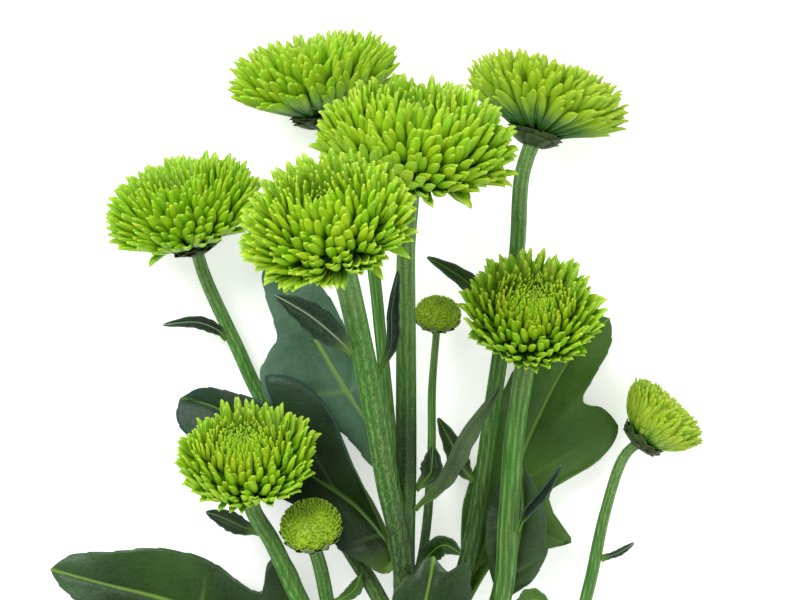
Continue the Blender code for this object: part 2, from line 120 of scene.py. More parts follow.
class Finish:
    """A material with its node tree, and the few nodes that the finishes here are made of."""

    def __init__(self, name, gloss=0.5):
        self.material = bpy.data.materials.new(name)
        self.material.use_nodes = True
        self.tree = self.material.node_tree
        self.skin = self.tree.nodes["Principled BSDF"]
        self.skin.inputs["Specular IOR Level"].default_value = gloss

    def wear(self, colour, roughness):
        self.feed(self.skin.inputs["Base Color"], colour)
        self.feed(self.skin.inputs["Roughness"], roughness)

    def feed(self, socket, value):
        if isinstance(value, Value):
            self.tree.links.new(value.socket, socket)
        else:
            socket.default_value = value

    def node(self, kind, settings=None, inputs=None, out=0):
        node = self.tree.nodes.new("ShaderNode" + kind)
        for name, value in (settings or {}).items():
            setattr(node, name, value)
        for name, value in (inputs or {}).items():
            self.feed(node.inputs[name], value)
        return Value(self, node.outputs[out])

    def mark(self, name):
        """A number stored at each point of the piece's mesh."""
        return self.node("Attribute", {"attribute_name": name}, out=2)

    def place(self):
        return self.node("TexCoord", out=3)

    def grain(self, scale, detail=3.0, stretch=None):
        """Soft noise from 0 to 1, with scale waves to the metre."""
        where = self.place()
        if stretch:
            where = self.node("Mapping", None, {"Vector": where, "Scale": stretch})
        rough = self.node("TexNoise", None, {"Vector": where, "Scale": scale, "Detail": detail})
        return rough.between(0.3, 0.7)

    def blend(self, mask, first, second):
        return self.node("Mix", {"data_type": "RGBA"}, {0: mask, 6: first, 7: second}, out=2)

    def relief(self, height, distance_mm, strength=0.6):
        bump = self.node("Bump", None, {"Height": height, "Strength": strength,
                                        "Distance": distance_mm * METRES_PER_MM})
        self.feed(self.skin.inputs["Normal"], bump)

    def glow_through(self, weight, radius_mm, tint):
        """Light that enters fresh tissue and comes out near by."""
        self.skin.inputs["Subsurface Weight"].default_value = weight
        self.skin.inputs["Subsurface Scale"].default_value = radius_mm * METRES_PER_MM
        self.skin.inputs["Subsurface Radius"].default_value = tint


def paint(red, green, blue):
    """A colour as a screen shows it, 0 to 255, turned to the linear one that light uses."""
    def linear(level):
        share = level / 255
        return share / 12.92 if share < 0.04045 else ((share + 0.055) / 1.055) ** 2.4
    return (linear(red), linear(green), linear(blue), 1.0)


# %% [markdown]
# ## Table and light
#
# The picture was lit softly from all sides, a little more from the upper left, in front of white.
# So the world is white, a broad lamp stands up left with a weaker one opposite, and the table, a
# stage that is no part of the spray, is nearly white too.

# %% Table, lamps and sky
TABLE_SIZE = 6.0
LAMPS = (("key lamp", (-0.55, 0.75, 1.1), 0.9, 17.0), ("fill lamp", (0.8, -0.4, 1.0), 1.2, 5.0))
SKY_STRENGTH = 0.72
TABLE_GLOW = 0.42


def placed(name, bm, finish):
    """Turn a mesh that is done into an object in the scene."""
    mesh = bpy.data.meshes.new(name)
    bm.to_mesh(mesh)
    bm.free()
    mesh.materials.append(finish.material)
    thing = bpy.data.objects.new(name, mesh)
    bpy.context.scene.collection.objects.link(thing)
    return thing


table_finish = Finish("table_white")
table_speck = table_finish.grain(40.0)
table_colour = table_finish.blend(table_speck, paint(250, 250, 249), paint(254, 254, 254))
table_finish.wear(table_colour, 0.9)
table_finish.feed(table_finish.skin.inputs["Emission Color"], table_colour)
table_finish.skin.inputs["Emission Strength"].default_value = TABLE_GLOW

table_bm = bmesh.new()
bmesh.ops.create_grid(table_bm, x_segments=1, y_segments=1, size=TABLE_SIZE / 2)
table = placed("table", table_bm, table_finish)

for lamp_name, lamp_place, lamp_size, lamp_power in LAMPS:
    lamp_data = bpy.data.lights.new(lamp_name, "AREA")
    lamp_data.energy, lamp_data.size = lamp_power, lamp_size
    lamp = bpy.data.objects.new(lamp_name, lamp_data)
    lamp.location = lamp_place
    lamp.rotation_euler = (-Vector(lamp_place)).to_track_quat("-Z", "Y").to_euler()
    bpy.context.scene.collection.objects.link(lamp)

sky = bpy.data.worlds.new("sky")
sky.use_nodes = True
backdrop = sky.node_tree.nodes["Background"].inputs
backdrop["Color"].default_value = (1, 1, 1, 1)
backdrop["Strength"].default_value = SKY_STRENGTH
bpy.context.scene.world = sky
bpy.context.scene.view_settings.view_transform = "Standard"
print("lamps:", len(LAMPS))

# %% [markdown]
# ## Places and curves
#
# A picture point and a height give a place on the plan, points give a smooth curve, and the curve
# its direction. Two more functions say how far a number has got between two others, and how near
# it is to nought.

# %% Plan and curve helpers
SLOPE_STEP = 0.004
FINE_STEPS = 200


def seen(px, py, height):
    """The place at this height that the eye sees at a picture point."""
    scale = MM_PER_PIXEL_PER_MM * (EYE_HEIGHT - height)
    x = (px - PICTURE_MIDDLE[0]) * scale - PLAN_MIDDLE[0]
    y = (PICTURE_MIDDLE[1] - py) * scale - PLAN_MIDDLE[1]
    return Vector((x, y, height))


def along(points, share):
    """A point on the smooth curve through the given points, share running from 0 to 1."""
    place = min(max(share, 0.0), 1.0) * (len(points) - 1)
    index = min(int(place), len(points) - 2)
    t = place - index
    before = points[max(index - 1, 0)]
    start, end = points[index], points[index + 1]
    after = points[min(index + 2, len(points) - 1)]
    slope_in, slope_out = (end - before) * 0.5, (after - start) * 0.5
    return (start * (2 * t ** 3 - 3 * t ** 2 + 1) + slope_in * (t ** 3 - 2 * t ** 2 + t)
            + end * (3 * t ** 2 - 2 * t ** 3) + slope_out * (t ** 3 - t ** 2))


def direction_at(path, share):
    return (along(path, share + SLOPE_STEP) - along(path, share - SLOPE_STEP)).normalized()


def ease(low, high, value):
    """0 below low, 1 above high, and smooth between them."""
    share = min(max((value - low) / (high - low), 0.0), 1.0)
    return share * share * (3 - 2 * share)


def nearness(distance, width):
    """1 where the distance is nought, fading smoothly to 0 within a few widths."""
    return math.exp(-(distance / width) ** 2)


# %% [markdown]
# ## Making a piece
#
# Stalks and leaves start as a flat grid whose points are laid where the form wants them, and each
# keeps its place across and along the grid for the finish to read. Every finished mesh is scaled
# to metres, rides on the one body that the spray is, and stands for its solid.

# %% Grid and piece helpers
WELD_DISTANCE = 0.0001


def laid_grid(columns, rows, place):
    """A grid whose points go to place(across, along), across -1 to 1 and along 0 to 1."""
    bm = bmesh.new()
    across_layer = bm.verts.layers.float.new("across")
    along_layer = bm.verts.layers.float.new("along")
    bmesh.ops.create_grid(bm, x_segments=columns, y_segments=rows, size=1)
    for vert in bm.verts:
        across, length_share = vert.co.x, (vert.co.y + 1) / 2
        vert[across_layer], vert[along_layer] = across, length_share
        vert.co = place(across, length_share)
    return bm


def weld(bm):
    bmesh.ops.remove_doubles(bm, verts=bm.verts, dist=WELD_DISTANCE)


def close_tube(bm):
    """Weld a grid's long edges together and close the two ends."""
    weld(bm)
    rims = [edge for edge in bm.edges if edge.is_boundary]
    bmesh.ops.holes_fill(bm, edges=rims, sides=0)
    bmesh.ops.recalc_face_normals(bm, faces=bm.faces)


def add_piece(name, bm, finish, slot, *nodes):
    """Finish a mesh in millimetres as a piece of the spray."""
    bmesh.ops.scale(bm, vec=Vector((1, 1, 1)) * METRES_PER_MM, verts=bm.verts)
    piece = placed(name, bm, finish)
    piece.data.shade_smooth()
    print(name, len(piece.data.polygons), "faces")
    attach(piece, "root")
    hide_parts(*nodes)
    return piece


# %% [markdown]
# ## Heads and stalks, in numbers
#
# Each head is a half profile turned round an axis: where the tips of its florets reach, from the
# lowest row to the middle. An open head is a wide ball with a small dip, a cup is seen from the
# side and fans out, a young head still has a closed button in the middle, and buds are tight.

# %% The forms of the heads
# width is half a floret's, button how closed the middle is, hook how far the tips bend over, core
# how much of a floret the heart fills, low and in the middle, dip how much shorter the florets in
# the middle are, and taper how much a floret narrows at its tip
Form = namedtuple("Form", "tips florets width button hook core shortest longest dip taper")


def profile(*pairs):
    return [Vector(pair) for pair in pairs]


BOW_DIRECTION = Vector((0.4, -0.6))
FLORET_BOW = 0.4
ROOTS = profile((.30, .03), (.34, .09), (.34, .16), (.29, .23), (.21, .28), (.11, .31), (.02, .32))
OPEN = Form(
    profile((.80, .02), (.97, .13), (1.0, .30), (.94, .47), (.82, .62), (.62, .73), (.42, .77),
            (.26, .74), (.14, .67), (.03, .58)),
    520, .056, 0.0, .07, (.36, .52), .86, 1.07, .34, .97)
CUP = Form(
    profile((.92, .34), (1.0, .42), (1.01, .54), (.95, .68), (.81, .81), (.60, .88), (.40, .90),
            (.25, .85), (.13, .77), (.03, .69)),
    480, .058, 0.0, .03, (.36, .52), .88, 1.05, .28, .97)
YOUNG = Form(
    profile((.80, .13), (.95, .30), (1.0, .47), (.90, .60), (.73, .68), (.56, .71), (.40, .72),
            (.26, .73), (.13, .73), (.03, .72)),
    560, .051, 1.0, .10, (.34, .80), .84, 1.09, .06, .97)
HALF_OPEN = Form(
    profile((.62, .30), (.84, .50), (.97, .74), (.93, .92), (.76, 1.02), (.55, 1.06), (.36, 1.06),
            (.18, 1.04), (.03, 1.0)),
    420, .064, 0.0, .04, (.74, .90), .93, 1.02, .0, .90)
BUD = Form(
    profile((.74, .12), (.95, .31), (1.01, .55), (.95, .79), (.79, 1.0), (.56, 1.14), (.33, 1.20),
            (.16, 1.22), (.02, 1.22)),
    460, .066, 0.0, .03, (.84, .87), .98, 1.02, .0, .72)

# %% The heads and where they stand
# lean turns a head's axis to the right of +Y, lift raises it over the table, in degrees; warmth
# is how yellow it is and shade how much its florets are painted darker as painted shade, from 0 to 1
Head = namedtuple("Head", "name form base radius lean lift calyx_radius warmth shade")

HEADS = (
    Head("top_left", CUP, (321, 115, 16.8), 20.0, -10, 12, .36, .45, .50),
    Head("top_centre", OPEN, (413, 170, 47.0), 23.0, 5, 25, .34, .45, .35),
    Head("middle", OPEN, (334, 241, 72.0), 19.6, -17, 38, .34, .42, .0),
    Head("left", CUP, (194, 240, 11.8), 19.0, -15, 27, .36, .30, .30),
    Head("top_right", CUP, (535, 134, 17.7), 19.0, 17, 0, .34, .85, .90),
    Head("right", YOUNG, (530, 330, 33.0), 17.0, 4, 50, .36, .38, .15),
    Head("lower_left", YOUNG, (249, 478, 29.0), 17.2, -4, 39, .36, .36, .15),
    Head("bud_back", BUD, (437, 325, 11.0), 5.6, 4, 30, .62, .45, .30),
    Head("bud_low", BUD, (313, 537, 25.0), 7.2, -8, 40, .62, .40, .20),
    Head("bud_right", HALF_OPEN, (641, 440, 11.0), 11.4, 42, 8, .50, .65, .35),
)
HEAD_NAMED = {head.name: head for head in HEADS}
SEAT_GAP = 0.3
CALYX_DEPTH = 0.2
HEAD_MIDDLE = 0.45


def head_axis(head):
    lean, lift = math.radians(head.lean), math.radians(head.lift)
    return Vector((math.sin(lean) * math.cos(lift), math.cos(lean) * math.cos(lift), math.sin(lift)))


def head_frame(head):
    """From a head's own frame, its axis along +Z and its radius 1, to the plan."""
    axis = head_axis(head)
    across = Vector((0, 0, 1)).cross(axis).normalized()
    turn = Matrix((across, axis.cross(across), axis)).transposed().to_4x4()
    return Matrix.Translation(seen(*head.base)) @ turn @ Matrix.Scale(head.radius, 4)


# %% [markdown]
# Heads that press on each other bend their florets along the plane between them, and the table
# bends what would reach below it.

# %% Where florets bend out of the way
PRESSED = (("top_left", "top_centre"), ("top_centre", "middle"))
PRESS_DEPTH = 6.0
TABLE_DEPTH = 1.6
LOWEST = 0.05


def press_planes(head):
    """Each plane that holds this head back: a point on it and its outward direction."""
    planes = []
    for low_name, high_name in PRESSED:
        if head.name not in (low_name, high_name):
            continue
        low, high = HEAD_NAMED[low_name], HEAD_NAMED[high_name]
        start = head_frame(low) @ Vector((0, 0, HEAD_MIDDLE))
        end = head_frame(high) @ Vector((0, 0, HEAD_MIDDLE))
        upward = (end - start).normalized()
        point = start.lerp(end, low.radius / (low.radius + high.radius))
        outward = upward if head is low else -upward
        planes.append((point - outward * SEAT_GAP, outward))
    return planes


def pressed(place, planes):
    """Squeeze what comes near a plane or the table, so that it bends along it."""
    for point, outward in planes:
        ahead = (place - point).dot(outward) + PRESS_DEPTH
        if ahead > 0:
            place = place - outward * (ahead - PRESS_DEPTH * ahead / (PRESS_DEPTH + ahead))
    if place.z < TABLE_DEPTH:
        place.z = LOWEST + (TABLE_DEPTH - LOWEST) * math.exp((place.z - TABLE_DEPTH) / TABLE_DEPTH)
    return place


# %% [markdown]
# ## A floret
#
# A floret of this pompon is a narrow quill: a strip rolled up at its sides into a channel, tube-like
# at the root and open at the blunt tip. One closed strip is made once, with rows that get closer to
# the tip. Each of the thousands of florets is a copy of it, laid on frames along its own curve.

# %% The strip that every floret and bract starts from
STRIP_COLUMNS = 4
STRIP_ROWS = 6
TIP_CROWDING = 1.7

strip_bm = bmesh.new()
bmesh.ops.create_grid(strip_bm, x_segments=STRIP_COLUMNS, y_segments=STRIP_ROWS, size=1)
thick = bmesh.ops.extrude_face_region(strip_bm, geom=strip_bm.faces[:], use_keep_orig=True)
raised = [item for item in thick["geom"] if isinstance(item, bmesh.types.BMVert)]
bmesh.ops.translate(strip_bm, vec=(0, 0, 1), verts=raised)
bmesh.ops.recalc_face_normals(strip_bm, faces=strip_bm.faces)
strip = bpy.data.meshes.new("strip")
strip_bm.to_mesh(strip)
strip_bm.free()
STRIP_PLACES = [(round((vert.co.y + 1) / 2 * STRIP_ROWS), vert.co.x, vert.co.z)
                for vert in strip.vertices]
ROW_SHARES = [1 - (1 - row / STRIP_ROWS) ** TIP_CROWDING for row in range(STRIP_ROWS + 1)]
MARKS = ("across", "reach", "inner", "level", "warm", "chance")
print("strip:", len(strip.polygons), "faces")


def marked_mesh():
    """A mesh whose points can carry the marks that the finishes read."""
    bm = bmesh.new()
    layers = [bm.verts.layers.float.new(name) for name in MARKS]
    return bm, layers


def add_blade(bm, layers, rows, marks):
    """Lay a copy of the strip on rows of (centre, across, rise, half width, curl, thickness)."""
    start = len(bm.verts)
    bm.from_mesh(strip)
    bm.verts.ensure_lookup_table()
    for vert, (row, side, inner) in zip(bm.verts[start:], STRIP_PLACES):
        centre, across, rise, half_width, curl, thickness = rows[row]
        angle = side * curl
        out = half_width * math.sin(angle) / math.sin(curl)
        up = half_width * (1 - math.cos(angle)) / math.sin(curl)
        wall = thickness * (inner - 0.5) * (1 - side * side / 2)
        vert.co = centre + across * out + rise * (up + wall)
        for layer, mark in zip(layers, (side, ROW_SHARES[row], inner) + marks):
            vert[layer] = mark


# %% [markdown]
# ## A head of florets
#
# Florets grow in a spiral: each next one turns by the golden angle and stands a little nearer the
# middle, with the tips spread evenly over the dome. Seeded chance changes every floret's length,
# turn, sway and hue a little.

# %% Spread, lay and colour the florets of a head
GOLDEN_ANGLE = math.pi * (3 - math.sqrt(5))
LAST_LEVEL = 0.985
ROOT_CURL, TIP_CURL = math.radians(88), math.radians(74)
FLORET_THICKNESS = 0.022
SWAY = 0.12
LOOSE = 0.24
BUTTON_CROWD, CENTRE_CROWD = 5, 3
TURN_CHANCE, LEVEL_CHANCE, WARM_CHANCE = 0.07, 0.012, 0.22
CORE_SIDES, CORE_RINGS = 24, 16
HEAD_SEED = 40


def spread_levels(form):
    """A level for each floret, so that the tips lie evenly, and closer in a button."""
    steps = [index / FINE_STEPS * LAST_LEVEL for index in range(FINE_STEPS + 1)]
    room = [0.0]
    for low, high in zip(steps, steps[1:]):
        start, end = along(form.tips, low), along(form.tips, high)
        crowd = 1 + form.button * BUTTON_CROWD * ease(.50, .75, low)
        crowd += (1 - form.button) * CENTRE_CROWD * ease(.80, .88, low)
        room.append(room[-1] + (end - start).length * (start.x + 0.10) * crowd)
    levels, index = [], 0
    for floret in range(form.florets):
        wanted = room[-1] * (floret + 0.5) / form.florets
        while room[index + 1] < wanted:
            index += 1
        part = (wanted - room[index]) / (room[index + 1] - room[index])
        levels.append(steps[index] + part * (steps[index + 1] - steps[index]))
    return levels


def ways_at(turn):
    """The outward and the sideways direction at this turn round a head's axis."""
    return Vector((math.cos(turn), math.sin(turn), 0)), Vector((-math.sin(turn), math.cos(turn), 0))


def square_to(slope):
    slope = slope.normalized()
    return Vector((-slope.y, slope.x))


def turned(flat, outward):
    """A place or a direction of the half profile, turned round the axis."""
    return outward * flat.x + Vector((0, 0, flat.y))


def floret_rows(form, level, turn, length, width, sway, droop):
    """The frames that a floret's strip is laid on, in the head's own frame."""
    root, tip = along(ROOTS, level), along(form.tips, level)
    outward, sideways = ways_at(turn)
    bow = FLORET_BOW * level * (1 - level) * BOW_DIRECTION
    rows = []
    for share in ROW_SHARES:
        reach = share * length
        swing = math.pi * min(reach, 1.0)
        inward = square_to(tip - root + bow * math.pi * math.cos(swing))
        bend = form.hook * ease(.5, 1.0, share) ** 2 - droop * share ** 2
        flat = root.lerp(tip, reach) + bow * math.sin(swing) + inward * bend
        centre = turned(flat, outward) + sideways * sway * share ** 2
        rounding = math.sqrt(1 - form.taper * ease(.74, 1.0, share) ** 3)
        half = width * (0.5 + 0.5 * ease(0, .6, share)) * rounding
        curl = ROOT_CURL + (TIP_CURL - ROOT_CURL) * ease(.3, 1.0, share)
        rows.append((centre, -sideways, turned(inward, outward), half, curl, FLORET_THICKNESS))
    return rows


def add_core(bm, layers, form, warmth):
    """The heart that the florets stand on: a ball drawn onto the roots, low in the reach of its florets,
    so that in most heads it takes the dark root green, which is partly painted shade.
    """
    ball = bmesh.ops.create_uvsphere(bm, u_segments=CORE_SIDES, v_segments=CORE_RINGS, radius=1)
    reach_layer, warm_layer = layers[MARKS.index("reach")], layers[MARKS.index("warm")]
    low, high = form.core
    for vert in ball["verts"]:
        vert[reach_layer], vert[warm_layer] = low, warmth
        level = (vert.co.z + 1) / 2 * LAST_LEVEL
        girth = math.hypot(vert.co.x, vert.co.y)
        root, tip = along(ROOTS, level), along(form.tips, level)
        flat = root.lerp(tip, low + (high - low) * ease(.45, .80, level))
        narrow = min(1.0, girth * 3) / max(girth, 0.001)
        vert.co = Vector((vert.co.x * flat.x * narrow, vert.co.y * flat.x * narrow, flat.y))


def stand(bm, head, planes):
    """Move a mesh from the head's own frame to its place, bent along the planes and the table."""
    bmesh.ops.transform(bm, matrix=head_frame(head), verts=bm.verts)
    for vert in bm.verts:
        vert.co = pressed(vert.co.copy(), planes)


def make_head(head, seed):
    form, chance = head.form, random.Random(seed)
    bm, layers = marked_mesh()
    for number, level in enumerate(spread_levels(form)):
        turn = number * GOLDEN_ANGLE + chance.uniform(-TURN_CHANCE, TURN_CHANCE)
        length = chance.uniform(form.shortest, form.longest)
        length += (form.longest - length) * 0.8 * ease(.6, .9, level)
        length -= form.dip * ease(.78, .95, level)
        loose = LOOSE * (1 - 0.6 * form.button) * chance.random() ** 3
        droop = chance.uniform(-.03, .05) + loose * (1 - ease(0, .25, level))
        droop = droop * (1 - ease(.5, .8, level)) * (form.longest - form.shortest) / 0.2
        girth = along(form.tips, level).x
        width = form.width * (0.30 + 0.70 * math.sqrt(max(girth, 0.0))) * chance.uniform(.85, 1.15)
        width = width * (1 - 0.25 * form.button * ease(.5, .7, level))
        sway = chance.uniform(-SWAY, SWAY) * girth
        seat = level + chance.uniform(-LEVEL_CHANCE, LEVEL_CHANCE)
        rows = floret_rows(form, seat, turn, length, width, sway, droop)
        ring = ease(.42, .55, level) * (1 - ease(.60, .72, level)) * form.button
        warm = head.warmth + chance.uniform(-WARM_CHANCE, WARM_CHANCE) + 0.3 * ring
        # random tone, with whole heads pushed darker by their shade as painted shade; it rides in the
        # chance mark
        depth = head.shade + (1 - head.shade) * chance.random()
        add_blade(bm, layers, rows, (level, min(max(warm, 0.0), 1.0), depth))
    add_core(bm, layers, form, head.warmth)
    stand(bm, head, press_planes(head))
    return bm


# %% [markdown]
# ## The skin of a floret
#
# Deep in the head a floret is dark green, partly its own colour and partly painted shade between the
# florets. Towards its tip it turns lime, then yellower, and the channel on its inner side carries a
# painted highlight, a pale streak. Hue and brightness differ between florets at random, and some
# heads are painted darker all over as painted shade.

# %% Floret finish
# root green: partly the florets' own colour, partly painted shade deep between them
ROOT_GREEN_AND_SHADE = paint(40, 100, 6)
LEAF_LIME = paint(96, 160, 18)
BRIGHT_LIME = paint(166, 218, 30)
OLIVE_YELLOW = paint(194, 204, 36)
CENTRE_GREEN = paint(66, 136, 16)
TIP_YELLOW = paint(206, 208, 60)
# painted highlight: a pale streak along the glossy inner channel of a floret
STREAK_HIGHLIGHT = paint(212, 234, 130)


def floret_finish(name, root_and_shade, body, bright):
    finish = Finish(name, 0.35)
    reach, inner, across = finish.mark("reach"), finish.mark("inner"), finish.mark("across")
    warm, chance, level = finish.mark("warm"), finish.mark("chance"), finish.mark("level")
    lines = finish.grain(900.0, 2.0)
    lit = finish.blend(warm.between(.05, .95) * 0.75, bright, OLIVE_YELLOW)
    # the chance mark holds each floret's random tone and its head's painted shade
    green = finish.blend(chance * 0.55 + lines * 0.1, lit, body)
    inmost = finish.blend(level.between(.82, .94) * 0.75, green, CENTRE_GREEN)
    # painted shade: each floret darkens to the root green towards its root, partly its own colour and
    # partly shade between florets
    root_shaded = finish.blend(reach.between(.28, .84), root_and_shade, inmost)
    tipped = finish.blend(reach.between(.84, 1.0) * (0.04 + warm * 0.26), root_shaded, TIP_YELLOW)
    # painted highlight: a pale streak down the middle of the inner channel
    streak_highlight = inner * (1 - abs(across).between(.0, .55)) * reach.between(.35, .8) * 0.55
    skin = finish.blend(streak_highlight, tipped, STREAK_HIGHLIGHT)
    finish.wear(skin, 0.38 + lines * 0.14 + (1 - level) * 0.06)
    finish.relief((across * 9.0).wave() * 0.5 + lines * 0.5, 0.12)
    finish.glow_through(0.18, 1.6, (0.5, 1.0, 0.12))
    return finish


bloom_finish = floret_finish("bloom_floret", ROOT_GREEN_AND_SHADE, LEAF_LIME, BRIGHT_LIME)
bud_finish = floret_finish("bud_floret", paint(56, 112, 16), paint(104, 168, 36), paint(152, 196, 46))

# %% Make the heads
for head_number, head in enumerate(HEADS):
    head_bm = make_head(head, HEAD_SEED + head_number)
    if head.name.startswith("bud"):
        add_piece("florets_" + head.name, head_bm, bud_finish, "bud", head.name)
    else:
        add_piece("florets_" + head.name, head_bm, bloom_finish, "bloom", "bloom_" + head.name)

# %% [markdown]
# ## The calyx
#
# Under each head sits a shallow cup of green bracts with thin pale margins. The same strip makes
# them: three rows round the seat, each a little higher than the last.

# %% Calyx bracts
BRACT_ROWS = 3
BRACTS_A_ROW = 9
BRACT_THICKNESS = 0.014
BRACT_CURL = math.radians(34)
CUP_DEPTH = 0.12
SEAT_SIDES = 20
CALYX_SEED = 60


def calyx_rows(head, row, turn, width, spread, foot):
    """The frames of one bract: from the stalk up round the seat of the florets."""
    rim = head.calyx_radius
    opened = 0.16 if head.form is HALF_OPEN else 0.04
    cup = profile((foot, -CUP_DEPTH), (rim * .56, -CUP_DEPTH * .74), (rim * .78, -CUP_DEPTH * .32),
                  (rim * .88, 0.0), (rim * .93, opened * .55), (rim * .96, opened))
    if head.form is BUD:
        cup = profile((foot, -CUP_DEPTH), (rim * .66, -CUP_DEPTH * .6), (rim * 1.08, .02),
                      (rim * 1.40, .16), (rim * 1.58, .34), (rim * 1.62, .52))
    outward, sideways = ways_at(turn)
    low, high = 0.04 + 0.10 * row, 0.52 + 0.22 * row + spread
    rows = []
    for share in ROW_SHARES:
        place = low + (high - low) * share
        inward = square_to(along(cup, place + 0.02) - along(cup, place - 0.02))
        lift = 0.012 * (BRACT_ROWS - row) + 0.02 * ease(.7, 1.0, share)
        centre = turned(along(cup, place) - inward * lift, outward)
        rounding = math.sqrt(1 - 0.93 * ease(.45, 1.0, share) ** 2)
        half = width * (0.55 + 0.45 * ease(0, .4, share)) * rounding
        rows.append((centre, -sideways, turned(inward, outward), half, BRACT_CURL, BRACT_THICKNESS))
    return rows


def make_calyx(head, foot_radius, seed):
    chance = random.Random(seed)
    bm, layers = marked_mesh()
    foot = foot_radius / head.radius
    for row in range(BRACT_ROWS):
        for number in range(BRACTS_A_ROW):
            turn = 2 * math.pi * (number + 0.5 * row + chance.uniform(-.12, .12)) / BRACTS_A_ROW
            width = head.calyx_radius * 0.33 * chance.uniform(.75, 1.15)
            rows = calyx_rows(head, row, turn, width, chance.uniform(-.10, .08), foot)
            add_blade(bm, layers, rows, (row / BRACT_ROWS, 0.3, chance.random()))
    seat = bmesh.ops.create_cone(bm, cap_ends=True, segments=SEAT_SIDES, radius1=foot,
                                 radius2=head.calyx_radius * .95, depth=CUP_DEPTH)["verts"]
    bmesh.ops.translate(bm, vec=(0, 0, -CUP_DEPTH / 2 + 0.01), verts=seat)
    stand(bm, head, [])
    return bm


# %% Calyx finish
def calyx_finish(name, dark, light, margin):
    finish = Finish(name, 0.25)
    side, reach, chance = abs(finish.mark("across")), finish.mark("reach"), finish.mark("chance")
    rough = finish.grain(700.0)
    body = finish.blend(chance * 0.6 + rough * 0.3, dark, light)
    rooted = finish.blend(reach.between(.0, .6), paint(44, 70, 24), body)
    edge = side.between(.6, 1.0) * 0.6 + reach.between(.88, 1.0) * 0.4
    finish.wear(finish.blend(edge * 0.40, rooted, margin), 0.45 + rough * 0.2)
    finish.relief(rough, 0.15)
    return finish


open_calyx = calyx_finish("calyx_open", paint(28, 40, 18), paint(66, 90, 34), paint(140, 150, 100))
bud_calyx = calyx_finish("calyx_bud", paint(62, 92, 36), paint(112, 142, 72), paint(190, 200, 160))

# %% [markdown]
# ## The stem and its stalks
#
# Each stalk runs from its root, inside the stalk that carries it, to the seat of its head. It is a
# grid rolled into a tube, lightly ribbed, and it swells a little at both ends.

# %% Stalk paths
Stalk = namedtuple("Stalk", "head root_radius top_radius points")

STALKS = (
    Stalk("top_centre", 3.4, 2.1, (
        (400, 958, 2.9), (402, 850, 10.5), (404, 735, 18), (405, 640, 23), (404, 552, 26),
        (406, 460, 31), (406, 360, 36), (406, 262, 40))),
    Stalk("middle", 3.0, 2.9, (
        (406, 585, 25), (400, 540, 29), (387, 480, 36), (373, 400, 46), (358, 330, 56))),
    Stalk("top_left", 1.8, 1.4, (
        (406, 610, 24), (399, 530, 19), (390, 430, 13), (381, 339, 11.5), (371, 256, 11.5),
        (352, 190, 12.5))),
    Stalk("left", 2.2, 1.7, (
        (406, 650, 22.5), (372, 585, 15), (325, 510, 8.5), (262, 400, 4.6), (236, 345, 4.4))),
    Stalk("top_right", 2.4, 2.0, (
        (405, 690, 20.5), (443, 628, 17), (472, 540, 13.5), (492, 410, 11), (507, 310, 11),
        (517, 250, 12))),
    Stalk("right", 2.9, 2.5, (
        (404, 752, 17), (460, 680, 19), (500, 600, 21), (508, 520, 22), (514, 440, 23))),
    Stalk("lower_left", 2.6, 2.1, (
        (403, 790, 14.5), (350, 700, 14), (300, 600, 15.5), (274, 545, 18))),
    Stalk("bud_low", 1.9, 1.9, (
        (347, 694, 14), (335, 650, 14.5), (327, 600, 17), (321, 570, 20))),
    Stalk("bud_back", 1.3, 0.9, (
        (406, 620, 23.5), (424, 545, 16), (431, 460, 11), (432, 390, 9.5))),
    Stalk("bud_right", 2.0, 1.3, (
        (402, 850, 11), (480, 775, 9), (560, 680, 7), (588, 590, 6.5), (603, 520, 7),
        (620, 470, 8))),
)
STALK_NAMED = {stalk.head: stalk for stalk in STALKS}
SETTLE = 0.35
KINK_GAP = 4.0


def stalk_path(stalk):
    """The centre line: the given points, then straight into the head along its axis."""
    head = HEAD_NAMED[stalk.head]
    axis = head_axis(head)
    end = seen(*head.base) - axis * (CALYX_DEPTH * head.radius + 2 * SEAT_GAP)
    return [seen(*point) for point in stalk.points] + [end - axis * head.radius * SETTLE, end]


def into_head(stalk):
    """The same line, with its end run on into the cup of bracts and without a kink before it."""
    head = HEAD_NAMED[stalk.head]
    path = stalk_path(stalk)
    path[-1] = seen(*head.base) - head_axis(head) * CUP_DEPTH * head.radius * 0.6
    if (path[-2] - path[-3]).length < KINK_GAP:
        del path[-3]
    return path


def stalk_radius(stalk, share):
    return stalk.root_radius + (stalk.top_radius - stalk.root_radius) * share


# %% [markdown]
# The tube needs rings at even distances and a side direction that doesn't twist: each ring's is
# the last one, made square again to the path.

# %% Stalk tubes
TUBE_SIDES = 36
RIBS = 9
RING_STEP = 1.8
RIB_DEPTH = 0.022
STALK_FILL = 0.88
ROOT_SWELL, TOP_SWELL = 0.10, 0.10
# painted shade: how far round the fork, and where along the top centre stalk, stalks are painted nearly
# black
FORK, FORK_SHADE_REACH = (405, 540, 22), 15.0
SHADOW_SHARE, SHADOW_SPREAD = 0.67, 0.09


def walk(path, step):
    """Shares of a path about one step apart, with a side direction at each."""
    fine = [along(path, index / FINE_STEPS) for index in range(FINE_STEPS + 1)]
    lengths = [0.0]
    for before, after in zip(fine, fine[1:]):
        lengths.append(lengths[-1] + (after - before).length)
    count = max(4, round(lengths[-1] / step))
    side_way, frames, index = Vector((0, 0, 1)), [], 0
    for ring in range(count + 1):
        wanted = lengths[-1] * ring / count
        while index < FINE_STEPS - 1 and lengths[index + 1] < wanted:
            index += 1
        part = (wanted - lengths[index]) / (lengths[index + 1] - lengths[index])
        share = (index + part) / FINE_STEPS
        forward = direction_at(path, share)
        side_way = (side_way - forward * side_way.dot(forward)).normalized()
        frames.append((share, along(path, share), side_way.copy(), forward.cross(side_way)))
    return frames


